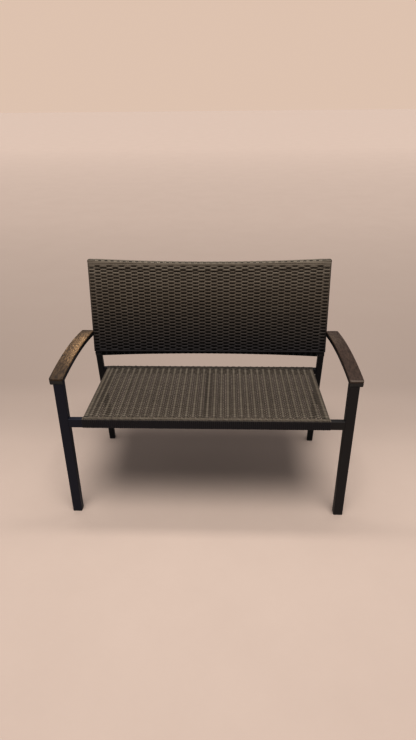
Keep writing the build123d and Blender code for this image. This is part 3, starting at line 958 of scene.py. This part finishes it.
# %% Frame coat, plastics and steel
def coat_finish():
    """Powder coat: painted light blended in by place, with scuffs, uneven gloss and fine grain."""
    material, tree, shader = new_finish("black_powder_coat")
    place = add(tree, "ShaderNodeTexCoord").outputs["Object"]
    parts = add(tree, "ShaderNodeSeparateXYZ")
    join(tree, place, parts.inputs["Vector"])
    # Painted light: lighter at the front, cool at the left and warm at the right, with painted shade
    # towards the rear.
    towards_right = ramp(tree, parts.outputs["X"], -0.3, 0.3)
    towards_rear = ramp(tree, parts.outputs["Y"], -0.22, 0.1)
    front = blend_colours(tree, towards_right, (0.0120, 0.0130, 0.0225), (0.0185, 0.0165, 0.0165))
    coat_with_painted_light = blend_colours(tree, towards_rear, front, (0.0052, 0.0056, 0.0070))
    scuffs = ramp(tree, noise(tree, place, 35.0, 6.0, 0.7), 0.55, 0.8)
    colour = blend_colours(tree, sums(tree, "MULTIPLY", scuffs, 0.3), coat_with_painted_light, (0.030, 0.030, 0.030))
    join(tree, colour, shader.inputs["Base Color"])
    rough = add(tree, "ShaderNodeMapRange", in_To_Min=0.38, in_To_Max=0.55)
    join(tree, noise(tree, place, 60.0, 4.0), rough.inputs["Value"])
    join(tree, rough.outputs["Result"], shader.inputs["Roughness"])
    relief(tree, shader, noise(tree, place, 900.0, 2.0), 0.0003, 0.35)
    shader.inputs["Specular IOR Level"].default_value = 0.2
    return material


def plastic_finish():
    """Moulded plastic: almost black, matt, with a very fine grain."""
    material, tree, shader = new_finish("moulded_black_plastic")
    place = add(tree, "ShaderNodeTexCoord").outputs["Object"]
    colour = blend_colours(tree, noise(tree, place, 80.0), (0.012, 0.012, 0.012), (0.024, 0.023, 0.022))
    join(tree, colour, shader.inputs["Base Color"])
    relief(tree, shader, noise(tree, place, 1500.0, 2.0), 0.0002, 0.3)
    shader.inputs["Roughness"].default_value = 0.62
    return material


def steel_finish():
    """Zinc plating: a metal whose grey varies in fine spots."""
    material, tree, shader = new_finish("zinc_plated_steel")
    place = add(tree, "ShaderNodeTexCoord").outputs["Object"]
    colour = blend_colours(tree, noise(tree, place, 300.0), (0.38, 0.37, 0.34), (0.6, 0.6, 0.58))
    join(tree, colour, shader.inputs["Base Color"])
    shader.inputs["Metallic"].default_value = 1.0
    shader.inputs["Roughness"].default_value = 0.36
    return material


coat, plastic, steel = coat_finish(), plastic_finish(), steel_finish()
print("finishes so far:", [finish.name for finish in (strand, coat, plastic, steel)])

# %% [markdown]
# ### Wood of the arms
#
# The slats are oiled hardwood. The left one has lost its oil in many pale specks, and the right
# one is still dark, so the two share a slot in the model but each has its own finish here. A
# photographed plank could be mapped on. Noise stretched along the slat gives streaks and specks
# that fit its arch and its length.

# %% Arm wood
def wood_finish(name, dark, mid, light, spots, worn_from, inner_edge, front_highlight):
    """Oiled hardwood: streaks along Y, and pale specks where the oil has worn off.

    The specks are noise over a threshold, which falls towards the inner edge, where the extra specks stand
    for a painted highlight. worn_from says where along Y they set in, and they fade out towards the rear.
    The last argument lightens the top of the front end with a painted highlight.
    """
    material, tree, shader = new_finish(name)
    place = add(tree, "ShaderNodeTexCoord").outputs["Object"]
    axes = add(tree, "ShaderNodeSeparateXYZ")
    join(tree, place, axes.inputs[0])
    stretch = add(tree, "ShaderNodeMapping")
    stretch.inputs["Scale"].default_value = (1.0, 0.3, 1.0)
    join(tree, place, stretch.inputs["Vector"])
    grain = noise(tree, stretch.outputs["Vector"], 330.0, 5.0, 0.65)
    streaks = ramp(tree, noise(tree, stretch.outputs["Vector"], 150.0, 4.0, 0.6), 0.34, 0.66)
    # Painted highlight: more pale specks towards the inner edge.
    edge_highlight = sums(tree, "MULTIPLY", ramp(tree, axes.outputs["X"], *inner_edge), 0.09)
    speckle = sums(tree, "ADD", noise(tree, stretch.outputs["Vector"], 270.0, 5.0, 0.75), edge_highlight)
    behind = ramp(tree, axes.outputs["Y"], *worn_from)
    behind = sums(tree, "MULTIPLY", behind, ramp(tree, axes.outputs["Y"], 0.17, 0.06))
    worn = sums(tree, "MULTIPLY", ramp(tree, speckle, *spots), behind)
    colour = blend_colours(tree, streaks, dark, mid)
    colour = blend_colours(tree, worn, colour, light)
    # Painted highlight on the rounded top of the front end.
    nose_highlight = sums(tree, "MULTIPLY", ramp(tree, axes.outputs["Y"], -0.2570, -0.2615), front_highlight)
    nose_highlight = sums(tree, "MULTIPLY", nose_highlight, ramp(tree, axes.outputs["Z"], 0.600, 0.604))
    colour = blend_colours(tree, nose_highlight, colour, (0.15, 0.125, 0.105))
    join(tree, colour, shader.inputs["Base Color"])
    relief(tree, shader, grain, 0.0006, 0.5)
    rough = add(tree, "ShaderNodeMapRange", in_To_Min=0.62, in_To_Max=0.42)
    join(tree, streaks, rough.inputs["Value"])
    join(tree, rough.outputs["Result"], shader.inputs["Roughness"])
    shader.inputs["Specular IOR Level"].default_value = 0.22
    return material


left_wood = wood_finish(
    "weathered_arm_wood", (0.024, 0.0160, 0.0115), (0.074, 0.0475, 0.0275), (0.44, 0.285, 0.155),
    (0.50, 0.76), (-0.21, -0.06), (-0.535, -0.508), 0.0,
)
right_wood = wood_finish(
    "oiled_arm_wood", (0.024, 0.0145, 0.0105), (0.050, 0.0315, 0.0230), (0.12, 0.092, 0.066),
    (0.48, 0.8), (-0.05, 0.1), (0.53, 0.508), 0.6,
)

slot_finish = {
    "frame_coat": coat, "woven_strand": strand, "arm_wood": right_wood,
    "black_plastic": plastic, "screw_steel": steel,
}
slots = {part["node"]: part["material_slot"] for part in frame["record"]["subparts"]}
for name, node in frame["nodes"].items():
    finish = left_wood if name == "arm_slat_left" else slot_finish[slots[name]]
    if not node.material_slots:
        node.data.materials.append(finish)
    for held in node.material_slots:
        held.material = finish
print("finished CAD nodes:", len(frame["nodes"]))

# %% [markdown]
# ## Studio
#
# The bench stands on a plain pale floor. A whole place could be modelled round it, but a plain
# floor keeps the eye on the bench. Its tone is darkest just behind the bench and lighter in front
# and far behind, which stands for uneven light.

# %% Floor
floor_mesh = bpy.data.meshes.new("floor")
floor_mesh.from_pydata([(-60, -60, 0), (60, -60, 0), (60, 60, 0), (-60, 60, 0)], [], [(0, 1, 2, 3)])
floor = bpy.data.objects.new("floor", floor_mesh)
bpy.context.scene.collection.objects.link(floor)
paint, tree, shader = new_finish("pale_floor")
place = add(tree, "ShaderNodeTexCoord").outputs["Object"]
axes = add(tree, "ShaderNodeSeparateXYZ")
join(tree, place, axes.inputs[0])
tones = add(tree, "ShaderNodeValToRGB")
depths = (-1.5, -0.5, -0.1, 0.25, 0.8, 2.2, 5.4, 16.0)
levels = (1.04, 0.98, 0.94, 0.84, 0.68, 0.79, 0.97, 1.18)
while len(tones.color_ramp.elements) < len(depths):
    tones.color_ramp.elements.new(0.5)
for held, depth, level in zip(tones.color_ramp.elements, depths, levels):
    held.position = (depth - depths[0]) / (depths[-1] - depths[0])
    held.color = (0.450 * level, 0.370 * level, 0.326 * level, 1.0)
join(tree, ramp(tree, axes.outputs["Y"], depths[0], depths[-1]), tones.inputs[0])
clouds = sums(tree, "MULTIPLY", ramp(tree, noise(tree, place, 2.6, 7.0, 0.7), 0.3, 0.7), 0.1)
colour = blend_colours(tree, clouds, tones.outputs["Color"], (0.30, 0.235, 0.20))
join(tree, colour, shader.inputs["Base Color"])
shader.inputs["Roughness"].default_value = 0.8
shader.inputs["Specular IOR Level"].default_value = 0.15
floor_mesh.materials.append(paint)
print("floor with", len(levels), "tones from front to rear")

# %% [markdown]
# ### Light
#
# The light is soft and comes mostly from above: a broad high lamp a little forward, a long narrow
# one close above the seat, and a dim room all round. A picture of a sky could light it too, but
# three plain sources are easier to balance. The camera sees a warm backdrop in place of the room.

# %% Lamps and room
def direction_matrix(way):
    """Turn that points an object's own -Z along a direction."""
    z = -unit(np.asarray(way, float))
    x = unit(np.cross((0.0, 1.0, 0.0) if abs(z[2]) > 0.9 else (0.0, 0.0, 1.0), z))
    y = np.cross(z, x)
    return Matrix(np.stack([x, y, z], axis=1).tolist()).to_4x4()


def add_lamp(name, kind, place, way, energy):
    """Warm white lamp of a kind at a place, facing along a direction."""
    lamp = bpy.data.lights.new(name, kind)
    lamp.energy, lamp.color = energy, (1.0, 0.97, 0.93)
    holder = bpy.data.objects.new(name, lamp)
    holder.matrix_world = Matrix.Translation(place) @ direction_matrix(way)
    bpy.context.scene.collection.objects.link(holder)
    return lamp


high_lamp = add_lamp("high_lamp", "SUN", (0.0, 0.0, 0.0), (-0.03, 0.32, -1.0), 3.4)
high_lamp.angle = radians(34)
near_place, near_target = (0.0, 0.02, 1.55), (0.0, 0.05, 0.5)
near_lamp = add_lamp("near_lamp", "AREA", near_place, np.subtract(near_target, near_place), 11.0)
near_lamp.shape, near_lamp.size, near_lamp.size_y = "RECTANGLE", 1.7, 0.15
world = bpy.data.worlds.new("dim_room")
bpy.context.scene.world = world
world.use_nodes = True
tree = world.node_tree
room = tree.nodes["Background"]
room.inputs["Color"].default_value = (1.0, 0.96, 0.95, 1.0)
room.inputs["Strength"].default_value = 0.5
backdrop = add(tree, "ShaderNodeBackground", in_Color=(0.775, 0.612, 0.508, 1.0), in_Strength=1.0)
seen = add(tree, "ShaderNodeLightPath").outputs["Is Camera Ray"]
choice = add(tree, "ShaderNodeMixShader")
join(tree, seen, choice.inputs[0])
join(tree, room.outputs[0], choice.inputs[1])
join(tree, backdrop.outputs[0], choice.inputs[2])
join(tree, choice.outputs[0], tree.nodes["World Output"].inputs["Surface"])
bpy.context.scene.view_settings.view_transform = "Standard"
bpy.context.scene.view_settings.look = "None"
bpy.context.scene.view_settings.gamma = 0.8
print("lamps:", [lamp.name for lamp in (high_lamp, near_lamp)])

# %% [markdown]
# ### Camera
#
# A camera could be placed by eye. Here its place and angles come from a fit to measured points of
# the frame, so that the picture can be laid over a photograph of the bench. It stands a little to
# the right and well above the seat.

# %% Camera
eye = (0.07318, -1.88810, 1.48996)
pitch, yaw, roll = radians(27.419), radians(2.184), radians(0.620)
sensor_width, focal_pixels, picture_height = 36.0, 530, 740
turn = np.array([[cos(yaw), -sin(yaw), 0], [sin(yaw), cos(yaw), 0], [0, 0, 1]])
right = turn @ (1, 0, 0)
ahead = turn @ (0, cos(pitch), -sin(pitch))
down = turn @ (0, -sin(pitch), -cos(pitch))
right, down = cos(roll) * right + sin(roll) * down, cos(roll) * down - sin(roll) * right
camera = bpy.data.cameras.new("camera")
camera.sensor_width, camera.lens = sensor_width, sensor_width * focal_pixels / picture_height
holder = bpy.data.objects.new("camera", camera)
facing = Matrix(np.stack([right, -down, -ahead], axis=1).tolist()).to_4x4()
holder.matrix_world = Matrix.Translation(eye) @ facing
bpy.context.scene.collection.objects.link(holder)
bpy.context.scene.camera = holder
print("camera at", eye, "with a lens of", round(camera.lens, 2), "mm")
